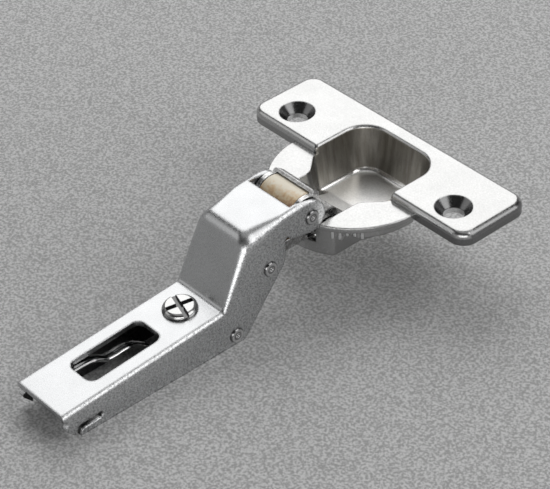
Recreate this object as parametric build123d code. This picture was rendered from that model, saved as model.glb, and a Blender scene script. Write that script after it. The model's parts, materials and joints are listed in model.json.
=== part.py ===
"""Inset hinge: a concealed cup hinge with a cranked clip-on arm, opened to its stop.

Millimetres. The origin is the cup's axis on the face of the door, +Z points out of the door,
+X runs along the flange from one screw hole to the other, and +Y points away from the arm.
"""
import os
from math import atan2, cos, radians, sin, tan

from build123d import *

# Flange of the cup
FLANGE_W = 65.7
FLANGE_D = 18.8
FLANGE_T = 3.1
FLANGE_CORNER_R = 3.5
FLANGE_EDGE_R = 1.4
LIP_R = 0.8
HOLE_SPACING = 48.0
HOLE_Y = 6.0
HOLE_R = 2.2
COUNTERSINK_R = 4.0
COUNTERSINK_DEPTH = 1.9

# Rim lobes and the collar that enters the bore
RIM_R = 18.4
RIM_Y = 0.7
RIM_T = 1.2
RIM_EDGE_R = 0.3
COLLAR_R = 17.3
COLLAR_DEPTH = 1.8
RIB_R = 0.4
RIB_FIRST_DEG = 34.0
RIB_STEP_DEG = 5.0
RIB_COUNT = 5

# Pocket of the cup
POCKET_HALF_W = 11.5
POCKET_REAR_Y = 14.7
POCKET_CORNER_R = 6.0
POCKET_FLOOR_Z = -7.8
POCKET_DRAFT_DEG = 7.0
POCKET_FLOOR_R = 1.2
CUP_WALL = 0.9
POCKET_BOTTOM_R = 2.4

# Front of the cup, where the links pass between two cheeks
FRONT_HALF_W = 7.45
FRONT_OUTER_HALF_W = 9.8
FRONT_INSET = 2.7
FRONT_FLOOR_Z = -5.5
FRONT_FLOOR_T = 0.9
FRONT_CORNER_R = 1.2
SWELL_GAP = 0.14
SWELL_LEN = 4.3
SWELL_START_R = 3.0
SWELL_END_R = 2.0
RAMP_FRONT_Y = -7.0
RAMP_REAR_Y = 1.0
CUTOUT_GAP = 0.35
CUTOUT_Z = -3.7
BOSS_R = 2.4
BOSS_GAP = 0.25

# Pivots at the open stop, measured from the front of the collar and from the face of the door
OPEN_TILT_DEG = 3.9
ARM_PIN_AHEAD = 0.6
ARM_PIN_Z = 4.2
REAR_PIN_INSET = 9.1
REAR_PIN_Z = -3.2
FRONT_PIN_INSET = 5.0
FRONT_PIN_Z = -2.1
CUP_PIN_R = 1.25
RUNNING_FIT = 0.05
PRESS_FIT = 0.02

# Arm, in its own frame: y along the lower flat from its rear edge, z up from its top face
ARM_HALF_W = 7.6
SHEET_T = 1.3
LOWER_LEN = 40.7
CRANK_RUN = 8.0
UPPER_LEN = 12.3
UPPER_Z = 14.2
VALLEY_R = 1.2
CREST_R = 3.4
CRANK_TRAIL = 2.3
BEND_STEPS = 8
EDGE_R_LOWER = 1.0
EDGE_R_CREST = 3.2
EDGE_R_NOSE = 1.2
EDGE_R_INSIDE = 0.8
NOSE_LEN = 3.0
EAR_R = 3.6
EAR_HEEL_R = 0.9
PIN_A_AHEAD = 4.4
PIN_A_Z = 9.6
PIN_B_BEHIND = 12.0
PIN_B_Z = 3.5
HOOK_AHEAD = 2.2
HOOK_Z = -7.5
REAR_DROP = 3.8
REAR_NOTCH = (0.0, -2.3)
REAR_NOTCH_R = 0.75
HEEL = (2.5, -7.0)
TOE_AHEAD = 4.2
TOE_Z = -9.9
BREAST_BEHIND = 3.5
BREAST_Z = 3.0
THROAT_BEHIND = 2.9
THROAT_Z = 8.5
TOE_R = 1.4
BREAST_R = 5.0
THROAT_R = 0.7
HEEL_R = 0.6
WINDOW_REAR_Y = 9.6
WINDOW_FRONT_Y = 27.8
WINDOW_HALF_W = 4.0
WINDOW_CORNER_R = 2.0
SLOT_W = 1.6
SLOT_MOUTH = (1.9, -7.9)
SLOT_TURN = (3.2, -4.8)
SLOT_END = (8.15, -4.95)

# Riveted pins of the arm
RIVET_R = 1.35
RIVET_HEAD_R = 1.65
RIVET_HEAD_T = 0.4
RIVET_DIMPLE_R = 0.45

# Links
CHEEK_GAP = 0.25
OUTER_SHEET_T = 1.0
OUTER_EYE_R = 4.0
OUTER_FOOT_R = 2.0
WEB_GAP = 0.25
WEB_T = 0.8
WEB_START = -1.0
WEB_END = 1.0
WEB_EDGE_R = 0.8
STOP_GAP = 0.35
STOP_SWEEP_DEG = 45.0
INNER_SHEET_T = 1.1
INNER_EYE_R = 2.0
INNER_TAIL_R = 3.4
INNER_NECK_TOP = -0.8
INNER_NECK_BOTTOM = -3.3
INNER_WEB_T = 0.9
INNER_WEB_FRONT = 3.0
INNER_WEB_REAR = 12.0
TAIL_OFFSET = (0.6, 0.68)
TAIL_PLAY = 1.1

# Roller
ROLLER_R = 4.0
ROLLER_END_GAP = 0.1
ROLLER_EDGE_R = 0.3

# Adjusting screw
SCREW_BEHIND = 5.3
SCREW_HEAD_R = 3.7
SCREW_HEAD_T = 1.2
SCREW_HEAD_EDGE_R = 1.0
SCREW_R = 2.9
SCREW_NECK_R = 1.9
SCREW_FOOT_R = 2.8
SCREW_SHANK_LEN = 5.6
SCREW_NECK_LEN = 1.4
SCREW_FOOT_LEN = 1.0
SCREW_BOSS_WALL = 1.1
SCREW_BOSS_LEN = 2.2
SLOT_CUT_W = 1.1
SLOT_CUT_DEPTH = 0.8
CROSS_LEN = 6.0
SCREW_TURN_DEG = -16.4
SEAT_GAP = 0.05

# Leaf springs
LEAF_T = 0.6
CLOSING_HALF_W = 4.4
CLOSING_INSET = 1.4
CLOSING_TURN_AHEAD = 3.3
CLOSING_LEG_Z = 8.45
CLOSING_LEG_INSET = 3.5
CLOSING_BEND_SHARE = 0.48
CLIP_INNER_X = -2.5
CLIP_OUTER_X = -5.1
CLIP_REAR_Y = 3.6
CLIP_TONGUE_Y = 14.4
CLIP_DIP = (18.0, -4.6)
CLIP_CREST = (23.9, -4.1)
CLIP_TAIL = (28.9, -8.1)
CLIP_BEND_R = 2.4
CLIP_BEAD_R = 0.45
CLIP_BEAD_LEAD = 2.6

FAR = 40.0
NEAR = 1e-4

# Places, (y, z), that follow from the sizes above
FRONT_INNER_Y = FRONT_INSET - COLLAR_R
ARM_FRONT_PIN = (-ARM_PIN_AHEAD - COLLAR_R, ARM_PIN_Z)
CUP_REAR_PIN = (REAR_PIN_INSET - COLLAR_R, REAR_PIN_Z)
CUP_FRONT_PIN = (FRONT_PIN_INSET - COLLAR_R, FRONT_PIN_Z)
CREST_Y = LOWER_LEN + CRANK_RUN
FLAT_END_Y = CREST_Y + UPPER_LEN
PIN_A = (FLAT_END_Y + PIN_A_AHEAD, PIN_A_Z)
PIN_B = (PIN_A[0] - PIN_B_BEHIND, PIN_B_Z)
HOOK_PIN = (LOWER_LEN + HOOK_AHEAD, HOOK_Z)
TOE = (LOWER_LEN + TOE_AHEAD, TOE_Z)
BREAST = (FLAT_END_Y - BREAST_BEHIND, BREAST_Z)
THROAT = (FLAT_END_Y - THROAT_BEHIND, THROAT_Z)
SCREW_Y = LOWER_LEN - SCREW_BEHIND


def side(sketch, half_width):
    """A side view (y, z) carried across the hinge, from -half_width to +half_width."""
    return extrude(Plane.YZ * sketch, amount=half_width, both=True)


def cheeks(sketch, inner_x, outer_x):
    """A side view (y, z) made into two plates, one on each side of the middle plane."""
    right = extrude(Plane.YZ.offset(inner_x) * sketch, amount=outer_x - inner_x)
    return right + mirror(right, about=Plane.YZ)


def slab(sketch, bottom, top):
    """A plan view (x, y) carried up from one height to another."""
    return extrude(Pos(0, 0, bottom) * sketch, amount=top - bottom)


def outline(*corners):
    """A closed outline from corners (u, v, radius), where radius 0 leaves the corner sharp."""
    face = make_face(Polyline(*[(u, v) for u, v, r in corners], close=True))
    for radius in sorted({r for u, v, r in corners if r > 0}):
        rounded = [Vector(u, v) for u, v, r in corners if r == radius]
        picked = [p for p in face.vertices() if min((Vector(*p) - c).length for c in rounded) < NEAR]
        face = fillet(picked, radius)
    return face


def disc(centre, radius):
    """A circle of a side or plan view at a point."""
    return Pos(*centre) * Circle(radius)


def hull(*discs):
    """The outline that a tight band round several circles would take."""
    return make_hull([edge for d in discs for edge in d.edges()])


def block(u0, v0, u1, v1):
    """A rectangle of a side or plan view between two opposite corners."""
    return Pos((u0 + u1) / 2, (v0 + v1) / 2) * Rectangle(u1 - u0, v1 - v0)


def offset_point(start, towards, along, aside):
    """A point measured along the line from start to towards, and aside from it to the left."""
    length = ((towards[0] - start[0]) ** 2 + (towards[1] - start[1]) ** 2) ** 0.5
    u = ((towards[0] - start[0]) / length, (towards[1] - start[1]) / length)
    return (start[0] + along * u[0] - aside * u[1], start[1] + along * u[1] + aside * u[0])


def turned(point, centre, degrees):
    """A point (y, z) carried round a centre, anticlockwise with y to the right and z up."""
    t = radians(degrees)
    dy = point[0] - centre[0]
    dz = point[1] - centre[1]
    return (centre[0] + dy * cos(t) - dz * sin(t), centre[1] + dy * sin(t) + dz * cos(t))


def to_cup(point):
    """A point (y, z) of the arm's frame in the cup's frame."""
    moved = (point[0] - PIN_A[0] + ARM_FRONT_PIN[0], point[1] - PIN_A[1] + ARM_FRONT_PIN[1])
    return turned(moved, ARM_FRONT_PIN, OPEN_TILT_DEG)


ARM_PLACE = Pos(0, *ARM_FRONT_PIN) * Rot(OPEN_TILT_DEG, 0, 0) * Pos(0, -PIN_A[0], -PIN_A[1])
ARM_INNER_HALF_W = ARM_HALF_W - SHEET_T
OUTER_CHEEK_X = ARM_INNER_HALF_W - CHEEK_GAP
OUTER_CHEEK_IN_X = OUTER_CHEEK_X - OUTER_SHEET_T
INNER_CHEEK_X = OUTER_CHEEK_IN_X - CHEEK_GAP
CUP_PIN_HALF_LEN = FRONT_OUTER_HALF_W


def hinge_cup():
    """Die-cast cup: flange, front lobes, collar, front cheeks and the drafted pocket."""
    plate = slab(RectangleRounded(FLANGE_W, FLANGE_D, FLANGE_CORNER_R), 0, FLANGE_T)
    plate = Pos(0, FLANGE_D / 2, 0) * plate
    plate = fillet(plate.faces().sort_by(Axis.Z)[-1].edges(), FLANGE_EDGE_R)

    slant = tan(radians(POCKET_DRAFT_DEG))
    throat_half_w = FRONT_HALF_W + (FLANGE_T - RIM_T) * slant
    throat_front_y = FRONT_INNER_Y - (FLANGE_T - FRONT_FLOOR_Z) * slant
    swell_turn = atan2(POCKET_HALF_W - throat_half_w, SWELL_LEN)
    swell_end_y = -SWELL_GAP - SWELL_END_R * tan(swell_turn / 2)
    swell_start_y = swell_end_y - SWELL_LEN
    cavity = outline(
        (-throat_half_w, throat_front_y, 0),
        (throat_half_w, throat_front_y, 0),
        (throat_half_w, swell_start_y, SWELL_START_R),
        (POCKET_HALF_W, swell_end_y, SWELL_END_R),
        (POCKET_HALF_W, POCKET_REAR_Y, POCKET_CORNER_R),
        (-POCKET_HALF_W, POCKET_REAR_Y, POCKET_CORNER_R),
        (-POCKET_HALF_W, swell_end_y, SWELL_END_R),
        (-throat_half_w, swell_start_y, SWELL_START_R),
    )
    cavity = extrude(Pos(0, 0, FLANGE_T) * cavity, amount=POCKET_FLOOR_Z - FLANGE_T, taper=POCKET_DRAFT_DEG)
    cavity = fillet(cavity.faces().sort_by(Axis.Z)[0].edges(), POCKET_FLOOR_R)
    cavity &= side(
        outline(
            (-FAR, FAR, 0),
            (-FAR, FRONT_FLOOR_Z, 0),
            (RAMP_FRONT_Y, FRONT_FLOOR_Z, 0),
            (RAMP_REAR_Y, POCKET_FLOOR_Z, 0),
            (FAR, POCKET_FLOOR_Z, 0),
            (FAR, FAR, 0),
        ),
        FAR,
    )

    ahead = block(-FAR, -FAR, FAR, RAMP_REAR_Y)
    rim = slab(disc((0, RIM_Y), RIM_R), 0, RIM_T)
    rim = fillet(rim.faces().sort_by(Axis.Z)[-1].edges(), RIM_EDGE_R) & slab(ahead, 0, RIM_T)
    collar = slab(disc((0, 0), COLLAR_R) & ahead, -COLLAR_DEPTH, 0)
    for i in range(RIB_COUNT):
        angle = radians(RIB_FIRST_DEG + i * RIB_STEP_DEG)
        spot = (COLLAR_R * sin(angle), -COLLAR_R * cos(angle))
        rib = slab(disc(spot, RIB_R), -COLLAR_DEPTH, 0)
        collar += rib + mirror(rib, about=Plane.YZ)

    bottom_z = POCKET_FLOOR_Z - CUP_WALL
    front_bottom_z = FRONT_FLOOR_Z - FRONT_FLOOR_T
    front = disc((0, 0), COLLAR_R) & block(-FRONT_OUTER_HALF_W, -FAR, FRONT_OUTER_HALF_W, RAMP_REAR_Y)
    corners = front.vertices().group_by(Axis.Y)[0]
    front = slab(fillet(corners, FRONT_CORNER_R), bottom_z, 0)
    shell_half_w = POCKET_HALF_W - FLANGE_T * slant + CUP_WALL
    shell_rear_y = POCKET_REAR_Y - FLANGE_T * slant + CUP_WALL
    shell = outline(
        (-FRONT_OUTER_HALF_W, swell_start_y, 0),
        (FRONT_OUTER_HALF_W, swell_start_y, 0),
        (shell_half_w, swell_end_y, SWELL_END_R),
        (shell_half_w, shell_rear_y, POCKET_CORNER_R),
        (-shell_half_w, shell_rear_y, POCKET_CORNER_R),
        (-shell_half_w, swell_end_y, SWELL_END_R),
    )
    shell = extrude(shell, amount=bottom_z, taper=POCKET_DRAFT_DEG)
    shell = fillet(shell.faces().sort_by(Axis.Z)[0].edges(), POCKET_BOTTOM_R)
    keel = side(
        outline(
            (-FAR, FLANGE_T, 0),
            (-FAR, front_bottom_z, 0),
            (RAMP_FRONT_Y, front_bottom_z, 0),
            (RAMP_REAR_Y, bottom_z, 0),
            (FAR, bottom_z, 0),
            (FAR, FLANGE_T, 0),
        ),
        FAR,
    )
    body = rim + collar + ((front + shell) & keel)

    body = body + plate - cavity
    body -= slab(block(-FRONT_HALF_W, -FAR, FRONT_HALF_W, FRONT_INNER_Y), 0, FAR)
    cutout_half_w = OUTER_CHEEK_X + CUTOUT_GAP
    body -= slab(block(-cutout_half_w, -FAR, cutout_half_w, FRONT_INNER_Y), CUTOUT_Z, FAR)
    lip = [e for e in body.faces().sort_by(Axis.Z)[-1].edges() if abs(e.center().X) < POCKET_HALF_W + LIP_R]
    lip = [e for e in lip if FLANGE_EDGE_R + NEAR < e.center().Y < POCKET_REAR_Y + LIP_R]
    body = fillet(lip, LIP_R)

    for pin in (CUP_REAR_PIN, CUP_FRONT_PIN):
        body += cheeks(disc(pin, BOSS_R), OUTER_CHEEK_X + BOSS_GAP, FRONT_HALF_W)
    for pin in (CUP_REAR_PIN, CUP_FRONT_PIN):
        body -= side(disc(pin, CUP_PIN_R + PRESS_FIT), FAR)
    for x in (-HOLE_SPACING / 2, HOLE_SPACING / 2):
        cone = Cone(HOLE_R, COUNTERSINK_R, COUNTERSINK_DEPTH)
        body -= Pos(x, HOLE_Y, FLANGE_T / 2) * Cylinder(HOLE_R, FLANGE_T)
        body -= Pos(x, HOLE_Y, FLANGE_T - COUNTERSINK_DEPTH / 2) * cone
    return body


def cup_pin(centre):
    """Plain pin held in both cheeks of the cup."""
    return side(disc(centre, CUP_PIN_R), CUP_PIN_HALF_LEN)


def outer_link():
    """Stamped U-shaped link from the arm's front pin to the cup's rear pin."""
    top = ARM_FRONT_PIN
    foot = CUP_REAR_PIN
    inner_face = ROLLER_R + WEB_GAP
    outer_face = inner_face + WEB_T

    def plate(near, far):
        points = [(WEB_START, near), (WEB_END, near), (WEB_END, far), (WEB_START, far)]
        return outline(*[(*offset_point(top, foot, along, aside), 0) for along, aside in points])

    link = cheeks(
        hull(disc(top, OUTER_EYE_R), disc(foot, OUTER_FOOT_R)) + plate(0, outer_face),
        OUTER_CHEEK_IN_X,
        OUTER_CHEEK_X,
    )
    link += side(plate(inner_face, outer_face), OUTER_CHEEK_X)
    crest = offset_point(top, foot, (WEB_START + WEB_END) / 2, outer_face)
    bends = [e for e in link.edges() if (e.center() - Vector(e.center().X, *crest)).length < NEAR * FAR]
    link = fillet([e for e in bends if abs(abs(e.center().X) - OUTER_CHEEK_X) < NEAR * FAR], WEB_EDGE_R)
    link -= side(disc(top, RIVET_R + RUNNING_FIT), FAR)
    link -= side(disc(foot, CUP_PIN_R + RUNNING_FIT), FAR)
    path = [turned(CUP_FRONT_PIN, foot, angle) for angle in (0, STOP_SWEEP_DEG / 2, STOP_SWEEP_DEG)]
    return link - side(hull(*[disc(point, CUP_PIN_R + STOP_GAP) for point in path]), FAR)


def inner_link():
    """Stamped U-shaped link from the cup's front pin to the arm's rear pin, with play at the arm."""
    eye = CUP_FRONT_PIN
    rear_pin = to_cup(PIN_B)
    tail = (rear_pin[0] + TAIL_OFFSET[0], rear_pin[1] + TAIL_OFFSET[1])
    neck = block(tail[0], INNER_NECK_BOTTOM, eye[0], INNER_NECK_TOP)
    web = block(
        eye[0] - INNER_WEB_REAR,
        INNER_NECK_BOTTOM,
        eye[0] - INNER_WEB_FRONT,
        INNER_NECK_BOTTOM + INNER_WEB_T,
    )
    profile = disc(eye, INNER_EYE_R) + disc(tail, INNER_TAIL_R) + neck
    link = cheeks(profile, INNER_CHEEK_X - INNER_SHEET_T, INNER_CHEEK_X) + side(web, INNER_CHEEK_X)
    link -= side(disc(eye, CUP_PIN_R + RUNNING_FIT), FAR)
    return link - side(disc(tail, RIVET_R + TAIL_PLAY), FAR)


def channel():
    """The folded sheet before it is trimmed: its long edges grow rounder up the crank, and it is hollow below."""

    def half_section(y, top, radius):
        face = block(0, -FAR, ARM_HALF_W, top)
        corner = face.vertices().group_by(Axis.Y)[-1].sort_by(Axis.X)[-1]
        return Plane.XZ.offset(-y) * fillet(corner, radius)

    crank_until = CREST_Y + CRANK_TRAIL
    nose_from = FLAT_END_Y - NOSE_LEN
    nose = half_section(nose_from, UPPER_Z, EDGE_R_NOSE)
    half = extrude(nose, amount=nose_from - PIN_A[0] - 2 * EAR_R)
    half += loft([half_section(crank_until, UPPER_Z, EDGE_R_CREST), nose], ruled=True)
    top_line = FilletPolyline(
        (0, 0),
        (LOWER_LEN, 0),
        (CREST_Y, UPPER_Z),
        (crank_until, UPPER_Z),
        radius=(VALLEY_R, CREST_R),
    )
    growth = (EDGE_R_CREST - EDGE_R_LOWER) / UPPER_Z
    for edge in top_line.edges():
        straight = edge.geom_type == GeomType.LINE
        steps = 1 if straight else BEND_STEPS
        stations = [edge @ (i / steps) for i in range(steps + 1)]
        half += loft([half_section(p.X, p.Y, EDGE_R_LOWER + growth * p.Y) for p in stations], ruled=straight)
    solid = half + mirror(half, about=Plane.YZ)

    turn = tan(atan2(UPPER_Z, CRANK_RUN) / 2) * SHEET_T
    hollow = side(
        outline(
            (-FAR, -SHEET_T, 0),
            (LOWER_LEN + turn, -SHEET_T, VALLEY_R + SHEET_T),
            (CREST_Y + turn, UPPER_Z - SHEET_T, CREST_R - SHEET_T),
            (PIN_A[0] + FAR, UPPER_Z - SHEET_T, 0),
            (PIN_A[0] + FAR, -FAR - SHEET_T, 0),
            (-FAR, -FAR - SHEET_T, 0),
        ),
        ARM_INNER_HALF_W,
    )
    inside_edges = [
        e
        for e in hollow.edges()
        if abs(abs(e.center().X) - ARM_INNER_HALF_W) < NEAR and -SHEET_T - NEAR < e.center().Z < UPPER_Z
    ]
    inside_edges = [e for e in inside_edges if abs(e.center().Y - PIN_A[0] - FAR) > NEAR]
    return solid - fillet(inside_edges, EDGE_R_INSIDE)


def hinge_arm():
    """Cranked channel, folded from one sheet, with its window, ears, bayonet slots and pin holes."""
    wall = outline(
        (0, FAR, 0),
        (0, -REAR_DROP, HEEL_R),
        (*HEEL, HEEL_R),
        (*TOE, TOE_R),
        (*BREAST, BREAST_R),
        (*THROAT, THROAT_R),
        (FLAT_END_Y, THROAT[1], 0),
        (FLAT_END_Y, FAR, 0),
    )
    tip = hull(disc(PIN_A, EAR_R), disc((THROAT[0] + EAR_R, UPPER_Z - EAR_R), EAR_R))
    ear = tip + hull(disc(PIN_A, EAR_R), disc((FLAT_END_Y, THROAT[1] + EAR_HEEL_R), EAR_HEEL_R))
    arm = channel() & side(wall + ear, FAR)

    arm -= slab(block(-ARM_INNER_HALF_W, FLAT_END_Y, ARM_INNER_HALF_W, FAR * 2), 0, FAR)
    window = RectangleRounded(2 * WINDOW_HALF_W, WINDOW_FRONT_Y - WINDOW_REAR_Y, WINDOW_CORNER_R)
    arm -= slab(Pos(0, (WINDOW_FRONT_Y + WINDOW_REAR_Y) / 2) * window, -SHEET_T, FAR)

    arm += slab(disc((0, SCREW_Y), SCREW_R + SCREW_BOSS_WALL), -SHEET_T - SCREW_BOSS_LEN, -SHEET_T)
    arm -= slab(disc((0, SCREW_Y), SCREW_R + RUNNING_FIT), -FAR, FAR)
    for centre in (PIN_A, PIN_B, HOOK_PIN):
        arm -= side(disc(centre, RIVET_R + PRESS_FIT), FAR)
    slot = trace(FilletPolyline(SLOT_MOUTH, SLOT_TURN, SLOT_END, radius=SLOT_W), SLOT_W)
    slot += disc(SLOT_END, SLOT_W / 2)
    arm -= side(slot + disc(REAR_NOTCH, REAR_NOTCH_R), FAR)
    return ARM_PLACE * arm


def rivet(centre):
    """Pin riveted through both walls of the arm, with a low head and a dimple at each end."""
    pin = side(disc(centre, RIVET_R), ARM_HALF_W)
    head = cheeks(disc(centre, RIVET_HEAD_R), ARM_HALF_W, ARM_HALF_W + RIVET_HEAD_T)
    outer = [e for e in head.edges() if abs(abs(e.center().X) - ARM_HALF_W - RIVET_HEAD_T) < NEAR]
    pin += chamfer(outer, RIVET_HEAD_T / 2)
    tip = ARM_HALF_W + RIVET_HEAD_T
    pin -= cheeks(disc(centre, RIVET_DIMPLE_R), tip - RIVET_HEAD_T, tip)
    return ARM_PLACE * pin


def roller():
    """Plastic sleeve that turns on the arm's front pin, between the cheeks of the outer link."""
    sleeve = side(disc(PIN_A, ROLLER_R), OUTER_CHEEK_IN_X - ROLLER_END_GAP)
    sleeve = fillet(sleeve.edges().filter_by(GeomType.CIRCLE), ROLLER_EDGE_R)
    return ARM_PLACE * (sleeve - side(disc(PIN_A, RIVET_R + RUNNING_FIT), FAR))


def adjusting_screw():
    """Side-adjusting screw: low domed head with a slot and a cross, threaded shank, neck and foot."""
    head = Cylinder(SCREW_HEAD_R, SCREW_HEAD_T, align=(Align.CENTER, Align.CENTER, Align.MIN))
    head = fillet(head.edges().sort_by(Axis.Z)[-1], SCREW_HEAD_EDGE_R)
    top = SCREW_HEAD_T - SLOT_CUT_DEPTH
    head -= slab(block(-SCREW_HEAD_R, -SLOT_CUT_W / 2, SCREW_HEAD_R, SLOT_CUT_W / 2), top, FAR)
    head -= slab(block(-SLOT_CUT_W / 2, -CROSS_LEN / 2, SLOT_CUT_W / 2, CROSS_LEN / 2), top, FAR)
    level = 0
    screw = head
    for radius, length in (
        (SCREW_R, SCREW_SHANK_LEN),
        (SCREW_NECK_R, SCREW_NECK_LEN),
        (SCREW_FOOT_R, SCREW_FOOT_LEN),
    ):
        screw += slab(Circle(radius), level - length, level)
        level -= length
    return ARM_PLACE * (Pos(0, SCREW_Y, SEAT_GAP) * Rot(0, 0, SCREW_TURN_DEG) * screw)


def closing_spring():
    """Folded leaf in the arm's nose: one leg lies under the upper flat, the other over the inner link."""
    upper = UPPER_Z - SHEET_T - LEAF_T / 2
    bend = CLOSING_BEND_SHARE * (upper - CLOSING_LEG_Z)
    turn_y = CREST_Y + CLOSING_TURN_AHEAD - bend
    path = FilletPolyline(
        (FLAT_END_Y - CLOSING_INSET, upper),
        (turn_y, upper),
        (turn_y, CLOSING_LEG_Z),
        (FLAT_END_Y - CLOSING_LEG_INSET, CLOSING_LEG_Z),
        radius=bend,
    )
    return ARM_PLACE * side(trace(path, LEAF_T), CLOSING_HALF_W)


def clip_spring():
    """Arched leaf with beaded edges under the lower flat, which catches a mounting plate."""
    tongue = (CLIP_TONGUE_Y, -SHEET_T - LEAF_T / 2)
    arch = (CLIP_DIP, CLIP_CREST, CLIP_TAIL)
    path = FilletPolyline((CLIP_REAR_Y, tongue[1]), tongue, *arch, radius=CLIP_BEND_R)
    width = CLIP_INNER_X - CLIP_OUTER_X - 2 * CLIP_BEAD_R
    spring = extrude(Plane.YZ.offset(CLIP_OUTER_X + CLIP_BEAD_R) * trace(path, LEAF_T), amount=width)
    bead = FilletPolyline(offset_point(CLIP_DIP, tongue, CLIP_BEAD_LEAD, 0), *arch, radius=CLIP_BEND_R)
    for x in (CLIP_OUTER_X + CLIP_BEAD_R, CLIP_INNER_X - CLIP_BEAD_R):
        line = Plane.YZ.offset(x) * bead
        spring += sweep(Plane(line @ 0, z_dir=line % 0) * Circle(CLIP_BEAD_R), path=line)
    return ARM_PLACE * spring


PARTS = {
    "hinge_cup": hinge_cup(),
    "cup_rear_pin": cup_pin(CUP_REAR_PIN),
    "cup_front_pin": cup_pin(CUP_FRONT_PIN),
    "outer_link": outer_link(),
    "inner_link": inner_link(),
    "hinge_arm": hinge_arm(),
    "arm_front_pin": rivet(PIN_A),
    "arm_rear_pin": rivet(PIN_B),
    "hook_pin": rivet(HOOK_PIN),
    "roller": roller(),
    "adjusting_screw": adjusting_screw(),
    "closing_spring": closing_spring(),
    "clip_spring": clip_spring(),
}

os.makedirs("parts", exist_ok=True)
for name, part in PARTS.items():
    export_step(part, f"parts/{name}.step")
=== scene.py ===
"""Inset hinge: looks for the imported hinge, in the order in which the hinge is put together."""
import json
import math

import bpy
import numpy as np
from mathutils import Matrix, Vector


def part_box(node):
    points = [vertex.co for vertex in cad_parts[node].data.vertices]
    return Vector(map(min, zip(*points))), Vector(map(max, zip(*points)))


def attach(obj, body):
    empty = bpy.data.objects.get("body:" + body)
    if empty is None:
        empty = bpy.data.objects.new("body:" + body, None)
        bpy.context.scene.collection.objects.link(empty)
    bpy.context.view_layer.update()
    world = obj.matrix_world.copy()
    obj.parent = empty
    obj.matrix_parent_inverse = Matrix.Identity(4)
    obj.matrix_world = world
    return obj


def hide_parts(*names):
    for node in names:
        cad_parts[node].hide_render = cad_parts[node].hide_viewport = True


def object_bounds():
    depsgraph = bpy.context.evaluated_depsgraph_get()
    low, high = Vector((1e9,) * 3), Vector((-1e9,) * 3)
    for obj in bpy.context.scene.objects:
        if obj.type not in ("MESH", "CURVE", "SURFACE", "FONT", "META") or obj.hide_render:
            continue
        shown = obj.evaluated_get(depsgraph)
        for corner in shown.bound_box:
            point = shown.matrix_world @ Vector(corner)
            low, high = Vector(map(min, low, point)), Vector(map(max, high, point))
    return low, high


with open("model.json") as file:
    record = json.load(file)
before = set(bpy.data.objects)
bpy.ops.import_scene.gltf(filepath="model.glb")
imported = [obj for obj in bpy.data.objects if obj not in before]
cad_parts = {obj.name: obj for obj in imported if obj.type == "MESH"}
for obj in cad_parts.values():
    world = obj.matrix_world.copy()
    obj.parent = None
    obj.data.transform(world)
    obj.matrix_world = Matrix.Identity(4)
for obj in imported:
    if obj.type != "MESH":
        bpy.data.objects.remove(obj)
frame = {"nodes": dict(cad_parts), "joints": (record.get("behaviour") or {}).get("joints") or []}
cad_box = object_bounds()

# Cup: a zinc die casting with a thin satin nickel plating, screwed to the door by its two wings.
# The open faces are bright; the pocket's walls are painted darker and browner as shade, its floor is painted
# lighter, with a painted highlight along the foot of the walls. Lengths are millimetres, and boxes are (x, y,
# z) corners.
MM = 0.001
CUP_NICKEL = (0.495, 0.495, 0.49)
# Painted shade: the flange's upright sides are darker.
UPRIGHT_SHADE = (0.22, 0.22, 0.22)
UPRIGHT_BOX = ((-33.5, -0.2, -0.5), (33.5, 19.5, 1.75))
UPRIGHT_EDGE = 0.35
# Painted shade: the ends of the wings are darker over their bright band.
WING_END_SHADE = (0.24, 0.24, 0.24)
WING_END_BOXES = (((-33.5, 2.4, 1.5), (-31.7, 19.5, 2.95)), ((31.7, 2.4, 1.5), (33.5, 19.5, 2.95)))
WING_END_EDGE = 0.12
# Painted shade: the countersinks are darker.
SINK_SHADE = (0.19, 0.19, 0.19)
SINK_HALF = 4.2
SINK_Z = (0.4, 3.05)
# Painted light: the bores of the screw holes are lighter.
BORE_HIGHLIGHT = (0.92, 0.92, 0.92)
BORE_HALF = 3.1
BORE_Z = (-0.5, 1.15)
HOLE_Y = 6.0
HOLES_X = (-24.0, 24.0)
# Painted highlight: the crush ribs under the rim are bright.
RIB_HIGHLIGHT = (0.90, 0.90, 0.90)
RIB_R = (17.35, 17.55)
BELOW_RIM_BOX = ((-19.0, -19.0, -4.0), (19.0, 0.0, 0.0))
RIM_EDGE = 0.05
# Painted shade: the pocket's walls are darker and browner, streaked at random.
POCKET_WALL_SHADE = (0.33, 0.31, 0.275)
POCKET_PALE = (0.50, 0.48, 0.44)
POCKET_BOX = ((-11.75, -0.6, -9.0), (11.75, 14.95, 2.7))
STREAK_MM = 1.1
STREAK_SPAN = (0.35, 0.65)
STREAK_STRETCH = (1.0, 1.0, 0.08)
# Painted highlight: a bright line along the foot of the pocket's walls.
FOOT_HIGHLIGHT = (0.90, 0.89, 0.87)
FOOT_BOX = ((-11.5, -0.6, -9.0), (11.5, 14.7, -6.75))
# Painted light: the pocket's floor and the ramp before it are lighter than the open faces.
POCKET_FLOOR_LIGHT = (0.92, 0.915, 0.90)
BOTTOM_BOX = ((-11.0, -8.0, -9.0), (11.0, 14.5, -7.55))
BOTTOM_EDGE = 0.2
RAMP_BOX = ((-8.5, -8.0, -9.0), (8.5, 1.6, -4.6))
CUP_ROUGH = 0.21
WALL_ROUGH = 0.34
FOOT_ROUGH = 0.19
BOTTOM_ROUGH = 0.36
RAMP_ROUGH = 0.60
SOFT_EDGE = 0.3
SHARP_EDGE = 0.06
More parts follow.
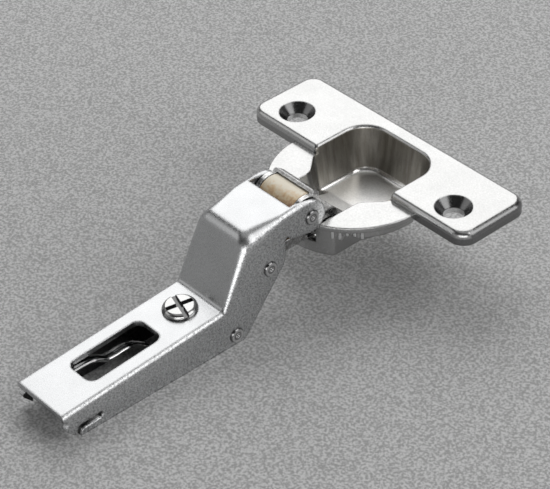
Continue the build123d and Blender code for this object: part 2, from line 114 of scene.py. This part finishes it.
# Painted shade: faces are darkened in their crevices, found by ambient occlusion.
CREVICE_MM = 0.5
CREVICE_SPAN = (0.3, 0.8)
CREVICE_SHADE_TONE = (0.35, 1.0)
CLOUD_MM = 6.0
CLOUD_SPAN = (0.3, 0.7)
CLOUD_TONE = (0.96, 1.03)
GRAIN_SPAN = (0.25, 0.75)
GRAIN_HEIGHT_MM = 0.03
GRAIN_BUMP = 0.10
UNEVEN_SPAN = (0.3, 0.7)
UNEVEN_ROUGH = (-0.05, 0.07)
MIX_A = 6
MIX_B = 7
MIX_OUT = 2


class Wiring:
    """The nodes of one material, or of the room, and the small steps that a finish is made of."""

    def __init__(self, tree):
        self.nodes = tree.nodes
        self.links = tree.links

    def add(self, kind, **settings):
        """A new shader node with its settings."""
        node = self.nodes.new("ShaderNode" + kind)
        for name, value in settings.items():
            setattr(node, name, value)
        return node

    def feed(self, socket, value):
        """Gives a socket another socket's value, a colour triple or a plain number."""
        if isinstance(value, bpy.types.NodeSocket):
            self.links.new(value, socket)
        elif isinstance(value, tuple) and socket.type == "RGBA":
            socket.default_value = (*value, 1.0)
        else:
            socket.default_value = value

    def noise(self, coords, grain_mm, detail=3.0, rough=0.55):
        """Noise whose grains are about grain_mm across, as a value from 0 to 1."""
        node = self.add("TexNoise")
        self.feed(node.inputs["Vector"], coords)
        self.feed(node.inputs["Scale"], 1.0 / (grain_mm * MM))
        self.feed(node.inputs["Detail"], detail)
        self.feed(node.inputs["Roughness"], rough)
        return node.outputs["Fac"]

    def spread(self, value, low_in, high_in, low_out=0.0, high_out=1.0, smooth=False):
        """A value carried from one range to another, held at the ends, straight or with soft ends."""
        node = self.add("MapRange", interpolation_type="SMOOTHSTEP" if smooth else "LINEAR")
        self.feed(node.inputs["Value"], value)
        self.feed(node.inputs["From Min"], low_in)
        self.feed(node.inputs["From Max"], high_in)
        self.feed(node.inputs["To Min"], low_out)
        self.feed(node.inputs["To Max"], high_out)
        return node.outputs["Result"]

    def arithmetic(self, operation, first, second):
        """One sum on two values, each a socket or a number."""
        node = self.add("Math", operation=operation)
        self.feed(node.inputs[0], first)
        self.feed(node.inputs[1], second)
        return node.outputs[0]

    def mixed(self, share, first, second, blend="MIX"):
        """Two colours, each a socket or a triple, mixed by a share from 0 to 1. The node has other sockets
        of the same names, so those for colours are found by number."""
        node = self.add("Mix", data_type="RGBA", blend_type=blend)
        self.feed(node.inputs["Factor"], share)
        self.feed(node.inputs[MIX_A], first)
        self.feed(node.inputs[MIX_B], second)
        return node.outputs[MIX_OUT]

    def axis(self, coords, letter):
        """One of the three coordinates."""
        node = self.add("SeparateXYZ")
        self.feed(node.inputs["Vector"], coords)
        return node.outputs[letter]

    def placed(self, coords, way="POINT", **values):
        """Coordinates that are moved, turned or stretched: location, rotation and scale."""
        node = self.add("Mapping", vector_type=way)
        self.feed(node.inputs["Vector"], coords)
        for name, value in values.items():
            node.inputs[name.title()].default_value = value
        return node.outputs["Vector"]

    def reach(self, vector):
        """The length of a vector."""
        node = self.add("VectorMath", operation="LENGTH")
        self.feed(node.inputs[0], vector)
        return node.outputs["Value"]

    def in_box(self, coords, low_mm, high_mm, edge_mm):
        """1 inside a box of coordinates and 0 outside it, with a soft edge."""
        share = None
        for letter, low, high in zip("XYZ", low_mm, high_mm):
            place = self.axis(coords, letter)
            for limit, inner in ((low, low + edge_mm), (high, high - edge_mm)):
                side = self.spread(place, limit * MM, inner * MM, smooth=True)
                share = side if share is None else self.arithmetic("MULTIPLY", share, side)
        return share


class Finish(Wiring):
    """A material in the making, with its Principled shader and its Object coordinates."""

    def __init__(self, name):
        self.material = bpy.data.materials.new(name)
        self.material.use_nodes = True
        super().__init__(self.material.node_tree)
        self.shader = self.nodes["Principled BSDF"]
        self.coords = self.add("TexCoord").outputs["Object"]

    def bump(self, height, height_mm, strength=1.0, normal=None):
        """A normal raised by a height from 0 to 1, over another normal if there is one."""
        node = self.add("Bump")
        self.feed(node.inputs["Height"], height)
        self.feed(node.inputs["Distance"], height_mm * MM)
        self.feed(node.inputs["Strength"], strength)
        if normal is not None:
            self.feed(node.inputs["Normal"], normal)
        return node.outputs["Normal"]

    def satin_nickel(
        self, colour, rough, grain_mm=0.35, grain=0.16, edge_mm=0.12, relief=None, relief_mm=0.0
    ):
        """Satin plating: the colour, broken by a fine grain and a slow cloud and darkened by painted shade in
        the crevices, over a grainy bump with softened edges. The colour and the roughness are each a socket
        or a plain value, and a relief, such as a thread, may lie under the grain."""
        # painted shade in the crevices
        crevice = self.add("AmbientOcclusion", samples=8)
        self.feed(crevice.inputs["Distance"], CREVICE_MM * MM)
        fine = self.noise(self.coords, grain_mm, 2.0, 0.7)
        cloud = self.noise(self.coords, CLOUD_MM)
        tone = self.arithmetic(
            "MULTIPLY",
            self.spread(fine, *GRAIN_SPAN, 1.0 - grain, 1.0 + grain / 3),
            self.spread(cloud, *CLOUD_SPAN, *CLOUD_TONE),
        )
        crevice_shade = self.spread(crevice.outputs["AO"], *CREVICE_SPAN, *CREVICE_SHADE_TONE)
        tone = self.arithmetic("MULTIPLY", tone, crevice_shade)
        self.feed(self.shader.inputs["Base Color"], self.mixed(1.0, colour, tone, "MULTIPLY"))
        uneven = self.spread(fine, *UNEVEN_SPAN, *UNEVEN_ROUGH)
        self.feed(self.shader.inputs["Roughness"], self.arithmetic("ADD", uneven, rough))
        self.feed(self.shader.inputs["Metallic"], 1.0)
        edge = self.add("Bevel", samples=4)
        self.feed(edge.inputs["Radius"], edge_mm * MM)
        normal = edge.outputs["Normal"]
        if relief is not None:
            normal = self.bump(relief, relief_mm, normal=normal)
        normal = self.bump(fine, GRAIN_HEIGHT_MM, GRAIN_BUMP, normal)
        self.feed(self.shader.inputs["Normal"], normal)

    def dress(self, *nodes):
        """Gives CAD nodes this finish."""
        for node in nodes:
            slots = frame["nodes"][node].data.materials
            slots.clear()
            slots.append(self.material)


cup = Finish("cup_nickel")
upright = cup.in_box(cup.coords, *UPRIGHT_BOX, UPRIGHT_EDGE)
pocket = cup.in_box(cup.coords, *POCKET_BOX, SOFT_EDGE)
foot = cup.in_box(cup.coords, *FOOT_BOX, SOFT_EDGE)
ramp = cup.in_box(cup.coords, *RAMP_BOX, SOFT_EDGE)
bottom = cup.arithmetic("MAXIMUM", cup.in_box(cup.coords, *BOTTOM_BOX, BOTTOM_EDGE), ramp)
crest = cup.spread(cup.reach(cup.placed(cup.coords, scale=(1.0, 1.0, 0.0))), RIB_R[0] * MM, RIB_R[1] * MM)
rib = cup.arithmetic("MULTIPLY", crest, cup.in_box(cup.coords, *BELOW_RIM_BOX, RIM_EDGE))
streak = cup.noise(cup.placed(cup.coords, scale=STREAK_STRETCH), STREAK_MM)
wall = cup.mixed(cup.spread(streak, *STREAK_SPAN), POCKET_WALL_SHADE, POCKET_PALE)
colour = cup.mixed(upright, CUP_NICKEL, UPRIGHT_SHADE)
for end_box in WING_END_BOXES:
    colour = cup.mixed(cup.in_box(cup.coords, *end_box, WING_END_EDGE), colour, WING_END_SHADE)
# Painted shade on the countersinks and painted light in the bores below them.
for hole_x in HOLES_X:
    for half, (low_z, high_z), painted_hole_tone in ((SINK_HALF, SINK_Z, SINK_SHADE), (BORE_HALF, BORE_Z, BORE_HIGHLIGHT)):
        low = (hole_x - half, HOLE_Y - half, low_z)
        high = (hole_x + half, HOLE_Y + half, high_z)
        colour = cup.mixed(cup.in_box(cup.coords, low, high, SHARP_EDGE), colour, painted_hole_tone)
colour = cup.mixed(rib, colour, RIB_HIGHLIGHT)
colour = cup.mixed(pocket, colour, wall)
colour = cup.mixed(foot, colour, FOOT_HIGHLIGHT)
colour = cup.mixed(bottom, colour, POCKET_FLOOR_LIGHT)
rough = cup.spread(pocket, 0.0, 1.0, CUP_ROUGH, WALL_ROUGH)
for share, change in (
    (foot, FOOT_ROUGH - WALL_ROUGH),
    (bottom, BOTTOM_ROUGH - FOOT_ROUGH),
    (ramp, RAMP_ROUGH - BOTTOM_ROUGH),
):
    rough = cup.arithmetic("ADD", rough, cup.spread(share, 0.0, 1.0, 0.0, change))
cup.satin_nickel(colour, rough, edge_mm=0.4)
cup.dress("hinge_cup")

# Cup pins: plain bright steel pins pressed through both cheeks of the cup.
# The links turn on them, so they are polished a little along their length.
PIN_STEEL = (0.62, 0.62, 0.62)
PIN_ROUGH = 0.14
PIN_GRAIN_MM = 0.25
PIN_GRAIN = 0.12
pins = Finish("pin_steel")
pins.satin_nickel(PIN_STEEL, PIN_ROUGH, grain_mm=PIN_GRAIN_MM, grain=PIN_GRAIN)
pins.dress("cup_rear_pin", "cup_front_pin")

# Links: two U-shaped stampings of nickel-plated sheet that carry the arm on the cup's pins.
# Their faces are a touch darker than the cup's and rubbed in blotches, with a painted highlight along the
# edges.
LINK_NICKEL = (0.36, 0.355, 0.35)
# Brighter rubbed blotches, and a painted highlight along the outward edges.
LINK_RUBBED_AND_SHEEN = (0.88, 0.88, 0.88)
LINK_ROUGH = 0.24
BLOTCH_MM = 0.9
BLOTCH_SPAN = (0.4, 0.65)
BLOTCH_SHARE = (0.0, 0.6)
SHEEN_EDGE_MM = 0.35
SHEEN_SPAN = (0.55, 0.9)


def edge_sheen(finish, colour, bright, edge_mm):
    """The colour, going over to a bright one within edge_mm of the outward edges, as a painted highlight."""
    inward = finish.add("AmbientOcclusion", inside=True, only_local=True, samples=8)
    finish.feed(inward.inputs["Distance"], edge_mm * MM)
    return finish.mixed(finish.spread(inward.outputs["AO"], *SHEEN_SPAN, 1.0, 0.0), colour, bright)


links = Finish("link_nickel")
blotch = links.spread(links.noise(links.coords, BLOTCH_MM), *BLOTCH_SPAN, *BLOTCH_SHARE)
colour = edge_sheen(links, links.mixed(blotch, LINK_NICKEL, LINK_RUBBED_AND_SHEEN), LINK_RUBBED_AND_SHEEN, SHEEN_EDGE_MM)
links.satin_nickel(colour, LINK_ROUGH, grain_mm=0.5, grain=0.3, edge_mm=0.25)
links.dress("outer_link", "inner_link")

# Arm: one piece of steel sheet folded into a cranked channel and nickel-plated to a satin finish.
# Its sides are finely specked, and the inside of the channel and the slots is painted dark as shade. It lies
# tilted, and the boxes of the channel and the slots are tilted with it.
ARM_NICKEL = (0.51, 0.515, 0.52)
ARM_SIDE = (0.76, 0.765, 0.77)
ARM_SPECK = (0.40, 0.405, 0.41)
ARM_SPECK_MM = 0.45
ARM_SPECK_SPAN = (0.42, 0.66)
ARM_ROUGH = 0.28
ARM_TILT = math.radians(3.9)
# Painted shade inside the channel and the slots.
CHANNEL_SHADE = (0.10, 0.10, 0.10)
CHANNEL_BOX = ((-6.42, -90.0, -30.0), (6.42, -36.0, -6.4))
SLOTS_BOX = ((-7.15, -81.8, -13.2), (7.15, -73.8, -8.1))
BETWEEN_SIDES_BOX = ((-7.3, -90.0, -30.0), (7.3, 90.0, 30.0))
THIN_EDGE = 0.1
FOLD_EDGE = 0.6
arm = Finish("arm_nickel")
tilted = arm.placed(arm.coords, rotation=(-ARM_TILT, 0.0, 0.0))
channel = arm.in_box(tilted, *CHANNEL_BOX, THIN_EDGE)
slots = arm.in_box(tilted, *SLOTS_BOX, THIN_EDGE)
top = arm.in_box(arm.coords, *BETWEEN_SIDES_BOX, FOLD_EDGE)
speck = arm.spread(arm.noise(arm.coords, ARM_SPECK_MM, 2.0, 0.8), *ARM_SPECK_SPAN)
colour = arm.mixed(top, arm.mixed(speck, ARM_SIDE, ARM_SPECK), ARM_NICKEL)
colour = arm.mixed(arm.arithmetic("MAXIMUM", channel, slots), colour, CHANNEL_SHADE)
arm.satin_nickel(colour, ARM_ROUGH, grain_mm=0.4, grain=0.1, edge_mm=0.6)
arm.dress("hinge_arm")

# Rivets: three steel pins headed over on both walls of the arm, each with a small dimple.
# A dark ring round the bright middle and a dark band under the rim are painted shade.
RIVET_BRIGHT = (0.80, 0.80, 0.80)
# Painted shade: the ring round the middle and the band under the rim.
RIVET_SHADE = (0.16, 0.16, 0.16)
RIM_R = (1.30, 1.60)
RING_OUTSIDE_R = (0.80, 1.05)
RING_INSIDE_R = (0.50, 0.70)
RING_SHARE = 0.8
for node in ("arm_front_pin", "arm_rear_pin", "hook_pin"):
    rivet = Finish("rivet_steel_" + node)
    middle = [(low + high) / 2 for low, high in zip(*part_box(node))]
    disc = rivet.add("VectorMath", operation="MULTIPLY")
    rivet.feed(disc.inputs[0], rivet.placed(rivet.coords, "TEXTURE", location=middle))
    rivet.feed(disc.inputs[1], (0.0, 1.0, 1.0))
    radius = rivet.reach(disc.outputs["Vector"])
    rim_shade = rivet.spread(radius, RIM_R[0] * MM, RIM_R[1] * MM, smooth=True)
    past_dimple = rivet.spread(radius, RING_INSIDE_R[0] * MM, RING_INSIDE_R[1] * MM, smooth=True)
    before_face = rivet.spread(
        radius, RING_OUTSIDE_R[0] * MM, RING_OUTSIDE_R[1] * MM, RING_SHARE, 0.0, smooth=True
    )
    ring_shade = rivet.arithmetic("MULTIPLY", past_dimple, before_face)
    colour = rivet.mixed(rivet.arithmetic("MAXIMUM", rim_shade, ring_shade), RIVET_BRIGHT, RIVET_SHADE)
    rivet.satin_nickel(colour, PIN_ROUGH, grain_mm=PIN_GRAIN_MM, grain=PIN_GRAIN)
    rivet.dress(node)

# Roller: a moulded sleeve of cream plastic, free to turn on the arm's front pin between the link's cheeks.
# It is browned in random blotches, and painted shade browns it further towards its near end and its front
# side.
ROLLER_CREAM = (0.97, 0.89, 0.73)
ROLLER_GOLD = (0.86, 0.63, 0.36)
ROLLER_BROWN = (0.60, 0.33, 0.20)
STAIN_MM = 1.0
ROLLER_SPECK_MM = 0.3
# Painted shade: browner towards the near end and the front side.
NEAR_END_X = (0.5, 5.0)
NEAR_END_SHADE = (-0.08, 0.12)
FRONT_SIDE_Y = (-21.3, -17.6)
FRONT_SIDE_SHADE = (0.32, -0.2)
GOLD_SPAN = (0.35, 0.7)
BROWN_SPAN = (0.65, 0.95)
ROLLER_SPECK_SPAN = (0.3, 0.7)
ROLLER_ROUGH = (0.30, 0.42)
ROLLER_BUMP = 0.08
roller = Finish("roller_plastic")
stain = roller.noise(roller.coords, STAIN_MM, 4.0, 0.7)
speck = roller.noise(roller.coords, ROLLER_SPECK_MM, 2.0)
near_end_shade = roller.spread(
    roller.axis(roller.coords, "X"), NEAR_END_X[0] * MM, NEAR_END_X[1] * MM, *NEAR_END_SHADE
)
front_side_shade = roller.spread(
    roller.axis(roller.coords, "Y"), FRONT_SIDE_Y[0] * MM, FRONT_SIDE_Y[1] * MM, *FRONT_SIDE_SHADE
)
stain_and_shade = roller.arithmetic("ADD", roller.arithmetic("ADD", stain, near_end_shade), front_side_shade)
colour = roller.mixed(roller.spread(stain_and_shade, *GOLD_SPAN), ROLLER_CREAM, ROLLER_GOLD)
colour = roller.mixed(roller.spread(stain_and_shade, *BROWN_SPAN), colour, ROLLER_BROWN)
roller.feed(roller.shader.inputs["Base Color"], colour)
roller.feed(roller.shader.inputs["Roughness"], roller.spread(speck, *ROLLER_SPECK_SPAN, *ROLLER_ROUGH))
roller.feed(roller.shader.inputs["Normal"], roller.bump(speck, GRAIN_HEIGHT_MM, ROLLER_BUMP))
roller.dress("roller")

# Adjusting screw: a nickel-plated steel screw with a low domed head, turned to shift the door sideways.
# The two crossed slots in its head are painted dark as shade. The shank has a rolled
# thread.
SCREW_NICKEL = (0.50, 0.50, 0.495)
SCREW_ROUGH = 0.18
# Painted shade in the slots of the head.
SLOT_SHADE = (0.13, 0.13, 0.13)
SLOTS_TURN = math.radians(-16.4)
SLOT_HALF_W = 0.6
SLOT_HALF_LEN = 4.0
SLOT_Z = (0.2, 1.2)
SHANK_BOX = ((-9.0, -9.0, -5.6), (9.0, 9.0, -0.1))
THREAD_PITCH = 0.8
THREAD_DEPTH = 0.3
WAVE_LENGTH = math.pi / 10
screw_axis = next(joint for joint in frame["joints"] if joint["name"] == "screw_turn")
screw = Finish("screw_nickel")
upright_screw = screw.placed(
    screw.coords, "TEXTURE", location=screw_axis["pos_m"], rotation=(ARM_TILT, 0.0, 0.0)
)
along_slots = screw.placed(upright_screw, rotation=(0.0, 0.0, -SLOTS_TURN))
cuts = [
    screw.in_box(along_slots, (-half_x, -half_y, SLOT_Z[0]), (half_x, half_y, SLOT_Z[1]), SHARP_EDGE)
    for half_x, half_y in ((SLOT_HALF_W, SLOT_HALF_LEN), (SLOT_HALF_LEN, SLOT_HALF_W))
]
colour = screw.mixed(screw.arithmetic("MAXIMUM", *cuts), SCREW_NICKEL, SLOT_SHADE)
thread = screw.add("TexWave", bands_direction="Z")
screw.feed(thread.inputs["Scale"], WAVE_LENGTH / (THREAD_PITCH * MM))
screw.feed(thread.inputs["Distortion"], 0.0)
screw.feed(thread.inputs["Vector"], upright_screw)
shank = screw.in_box(upright_screw, *SHANK_BOX, THIN_EDGE)
screw.satin_nickel(
    colour,
    SCREW_ROUGH,
    grain_mm=0.3,
    grain=0.1,
    relief=screw.arithmetic("MULTIPLY", thread.outputs["Fac"], shank),
    relief_mm=THREAD_DEPTH,
)
screw.dress("adjusting_screw")

# Closing spring: a folded leaf of spring steel inside the arm's nose, held by its own tension.
# It presses on the links and pulls the door shut.
SPRING_STEEL = (0.34, 0.34, 0.345)
SPRING_ROUGH = 0.26
spring = Finish("spring_steel")
spring.satin_nickel(SPRING_STEEL, SPRING_ROUGH, grain_mm=PIN_GRAIN_MM, grain=PIN_GRAIN)
spring.dress("closing_spring")

# Clip spring: a narrow leaf of spring steel with rolled edges, lying under the lower flat at its rear and
# arched down below the window. Its rolled edges and a line along its middle are painted bright as highlights,
# and the leaf between them is painted dark as shade. Its path is in the arm's own frame: y along the lower
# flat from its rear edge, z up from its top face.
CLIP_PATH = (
    (3.6, -1.64), (8.0, -1.64), (11.0, -1.66), (13.5, -1.84), (15.4, -2.28), (16.9, -3.10), (18.3, -4.12),
    (20.2, -4.42), (22.2, -4.42), (24.0, -4.66), (25.6, -5.44), (27.2, -6.66), (28.7, -7.92),
)
CLIP_STEPS = 8
CLIP_MIDDLE_X = -3.8
CLIP_HALF_W = 1.3
CLIP_EDGE_R = 0.45
CLIP_LEAF_R = 0.30
CLIP_RIDGE = 0.16
RIDGE_HALF_W = 0.30
ROLL_FROM_Y = 14.0
ROLL_OVER = 4.0
ROLL_TURN_DEG = 140.0
ROLL_POINTS = 19
RIDGE_POINTS = 5
ARM_PIN = (65.4, 9.6)
# Painted shade on the leaf, and painted highlight on the rolled edges and the middle ridge.
CLIP_SHADE = (0.07, 0.07, 0.07)
CLIP_TONGUE = (0.42, 0.42, 0.42)
CLIP_HIGHLIGHT = (0.93, 0.93, 0.93)
CLIP_ROUGH = 0.13
LEAF_BOX = ((-4.22, -90.0, -30.0), (-3.38, -40.0, 30.0))
RIDGE_BOX = ((-3.95, -62.5, -30.0), (-3.65, -40.0, 30.0))
TONGUE_BOX = ((-9.0, -90.0, -30.0), (9.0, -67.6, 30.0))
TONGUE_EDGE = 0.8
arm_joint = next(joint for joint in frame["joints"] if joint["name"] == "arm_swing")


def smooth_line(points, steps):
    """Catmull-Rom line: between two points, the cubic that passes through both and leaves each one along
    the chord of its neighbours; every run is cut into the same number of steps."""
    p = np.array(points, float)
    p = np.vstack((2 * p[0] - p[1], p, 2 * p[-1] - p[-2]))
    t = np.linspace(0.0, 1.0, steps, endpoint=False)[:, None, None]
    before, start, end, after = (p[k : len(p) - 3 + k] for k in range(4))
    line = 0.5 * (
        2 * start
        + (end - before) * t
        + (2 * before - 5 * start + 4 * end - after) * t**2
        + (3 * start - before - 3 * end + after) * t**3
    )
    return np.vstack((line.transpose(1, 0, 2).reshape(-1, p.shape[1]), p[-2:-1]))


def rolled_leaf(line):
    """Two edge rolls of radius r joined by a leaf, carried along a line (y, z) of the arm's frame: point
    (a, s) of the surface is line(s) + r(s) sin(a) across the leaf, and r(s) cos(a) out of each edge, with
    a low ridge along the leaf's middle. The last step turns the points by the arm's tilt about its pin."""
    along = np.gradient(line, axis=0)
    along /= np.linalg.norm(along, axis=1)[:, None]
    across = np.column_stack((-along[:, 1], along[:, 0]))
    grown = np.clip((line[:, 0] - ROLL_FROM_Y) / ROLL_OVER, 0.0, 1.0)[:, None]
    radius = CLIP_LEAF_R + (CLIP_EDGE_R - CLIP_LEAF_R) * grown
    turn = np.radians(np.linspace(-ROLL_TURN_DEG, ROLL_TURN_DEG, ROLL_POINTS))[None, :]
    ridge = np.linspace(RIDGE_HALF_W, -RIDGE_HALF_W, RIDGE_POINTS)[None, :]
    lift = CLIP_RIDGE * np.cos(ridge / RIDGE_HALF_W * np.pi / 2) * grown
    centre = CLIP_HALF_W - radius
    out = np.hstack((
        centre + radius * np.cos(turn),
        np.repeat(ridge, len(line), axis=0),
        -centre - radius * np.cos(turn),
    ))
    up = np.hstack((radius * np.sin(turn), radius * np.sin(turn[:, -1:]) + lift, -radius * np.sin(turn)))
    y = line[:, :1] + across[:, :1] * up - ARM_PIN[0]
    z = line[:, 1:] + across[:, 1:] * up - ARM_PIN[1]
    turned = (
        (CLIP_MIDDLE_X + out) * MM,
        (y * math.cos(ARM_TILT) - z * math.sin(ARM_TILT)) * MM + arm_joint["pos_m"][1],
        (y * math.sin(ARM_TILT) + z * math.cos(ARM_TILT)) * MM + arm_joint["pos_m"][2],
    )
    return np.stack(turned, axis=-1)


def closed_tube(name, rings):
    """A mesh from rings of points, joined ring to ring and closed by a flat face at both ends."""
    count, size = rings.shape[:2]
    index = np.arange(count * size).reshape(count, size)
    following = np.roll(index, -1, axis=1)
    quads = np.stack((index[:-1], following[:-1], following[1:], index[1:]), axis=-1).reshape(-1, 4)
    faces = quads.tolist() + [index[0][::-1].tolist(), index[-1].tolist()]
    mesh = bpy.data.meshes.new(name)
    mesh.from_pydata(rings.reshape(-1, 3).tolist(), [], faces)
    mesh.polygons.foreach_set("use_smooth", [True] * len(quads) + [False, False])
    piece = bpy.data.objects.new(name, mesh)
    bpy.context.collection.objects.link(piece)
    return piece


clip = closed_tube("clip_leaf", rolled_leaf(smooth_line(CLIP_PATH, CLIP_STEPS)))
bright = Finish("clip_spring_painted_sheen")
tilted = bright.placed(bright.coords, rotation=(-ARM_TILT, 0.0, 0.0))
colour = bright.mixed(bright.in_box(tilted, *LEAF_BOX, THIN_EDGE), CLIP_HIGHLIGHT, CLIP_SHADE)
colour = bright.mixed(bright.in_box(tilted, *RIDGE_BOX, THIN_EDGE), colour, CLIP_HIGHLIGHT)
colour = bright.mixed(bright.in_box(tilted, *TONGUE_BOX, TONGUE_EDGE), colour, CLIP_TONGUE)
bright.satin_nickel(colour, CLIP_ROUGH, grain_mm=PIN_GRAIN_MM, grain=0.1)
clip.data.materials.append(bright.material)
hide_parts("clip_spring")
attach(clip, "arm")

# Floor: a plain pale round sheet under the arm's lower edges, with a fine even grain in its tone.
# It is matt, so that it shows the hinge's shadow and no reflection.
FLOOR_PALE = (0.43, 0.43, 0.43)
FLOOR_PALER = (0.74, 0.74, 0.74)
FLOOR_GRAIN_MM = 0.6
FLOOR_GRAIN_SPAN = (0.4, 0.6)
FLOOR_R = 0.5
FLOOR_SIDES = 180
around = np.linspace(0.0, 2 * np.pi, FLOOR_SIDES, endpoint=False)
level = np.full(FLOOR_SIDES, float(cad_box[0][2]))
mesh = bpy.data.meshes.new("floor")
mesh.from_pydata(
    np.column_stack((FLOOR_R * np.cos(around), FLOOR_R * np.sin(around), level)).tolist(),
    [],
    [list(range(FLOOR_SIDES))],
)
floor = bpy.data.objects.new("floor", mesh)
bpy.context.collection.objects.link(floor)
sheet = Finish("floor_sheet")
grain = sheet.spread(sheet.noise(sheet.coords, FLOOR_GRAIN_MM, 2.0, 0.7), *FLOOR_GRAIN_SPAN)
sheet.feed(sheet.shader.inputs["Base Color"], sheet.mixed(grain, FLOOR_PALE, FLOOR_PALER))
sheet.feed(sheet.shader.inputs["Roughness"], 0.9)
sheet.feed(sheet.shader.inputs["Specular IOR Level"], 0.1)
mesh.materials.append(sheet.material)

# Light: a room of pale walls, a dim ceiling and a panel overhead, seen by mirrored rays only. The camera sees
# plain wall, and matt faces a dim shade. The level faces mirror the soft box behind on the left, the long
# folds the one behind on the right, the bends the one in front on the left, and upright edges the low one.
WALL_GREY = (0.38, 0.38, 0.38)
CEILING_GREY = (0.06, 0.06, 0.06)
CEILING_FROM = (0.2, 0.5)
OVERHEAD_GREY = (0.45, 0.45, 0.45)
OVERHEAD_FROM = (0.86, 0.93)
SHADE_GREY = (0.06, 0.06, 0.06)
LIT_POINT = Vector((0.0, -0.03, 0.0))
SOFT_BOXES = (
    ("box_behind_left", (-0.58, 0.49, 0.70), 0.65, (0.60, 0.64), 2.0),
    ("box_behind_right", (0.73, 0.40, 0.56), 0.65, (0.44, 0.58), 2.0),
    ("box_front_left", (-0.62, -0.53, 0.52), 0.60, (0.45, 0.28), 0.75),
    ("box_low_front", (0.70, -0.70, 0.17), 0.60, (0.66, 0.19), 3.0),
)
world = bpy.data.worlds.new("room")
world.use_nodes = True
room = Wiring(world.node_tree)
height = room.axis(room.add("TexCoord").outputs["Generated"], "Z")
ray = room.add("LightPath").outputs
grey = room.mixed(room.spread(height, *CEILING_FROM, smooth=True), WALL_GREY, CEILING_GREY)
grey = room.mixed(room.spread(height, *OVERHEAD_FROM, smooth=True), grey, OVERHEAD_GREY)
grey = room.mixed(ray["Is Glossy Ray"], SHADE_GREY, grey)
grey = room.mixed(ray["Is Camera Ray"], grey, WALL_GREY)
room.feed(room.nodes["Background"].inputs["Color"], grey)
bpy.context.scene.world = world
for name, towards, distance, (width, depth), radiance in SOFT_BOXES:
    light = bpy.data.lights.new(name, "AREA")
    light.shape = "RECTANGLE"
    light.size = width
    light.size_y = depth
    light.energy = radiance * math.pi * width * depth
    direction = Vector(towards).normalized()
    holder = bpy.data.objects.new(name, light)
    holder.visible_camera = False
    holder.location = LIT_POINT + direction * distance
    holder.rotation_euler = direction.to_track_quat("Z", "Y").to_euler()
    bpy.context.collection.objects.link(holder)

# Camera: a long lens at the photograph's angle, a little rolled.
# Its place and roll are fitted to the flange, the two screw holes and the arm.
CAMERA_AT = Vector((0.286465, -0.253802, 0.279656))
CAMERA_AIM = Vector((0.004934, -0.025737, 0.0))
CAMERA_ROLL = math.radians(-3.312)
FOCAL_PX = 2265.84
IMAGE_W = 550
camera = bpy.data.cameras.new("camera")
camera.sensor_fit = "HORIZONTAL"
camera.sensor_width = 36.0
camera.lens = FOCAL_PX / IMAGE_W * camera.sensor_width
camera.clip_start = 0.01
forward = (CAMERA_AIM - CAMERA_AT).normalized()
sideways = forward.cross(Vector((0, 0, 1))).normalized()
right = sideways * math.cos(CAMERA_ROLL) + sideways.cross(forward) * math.sin(CAMERA_ROLL)
turned = Matrix((right, right.cross(forward), -forward)).transposed().to_4x4()
holder = bpy.data.objects.new("camera", camera)
holder.matrix_world = Matrix.Translation(CAMERA_AT) @ turned
bpy.context.collection.objects.link(holder)
bpy.context.scene.camera = holder
bpy.context.scene.view_settings.view_transform = "Standard"
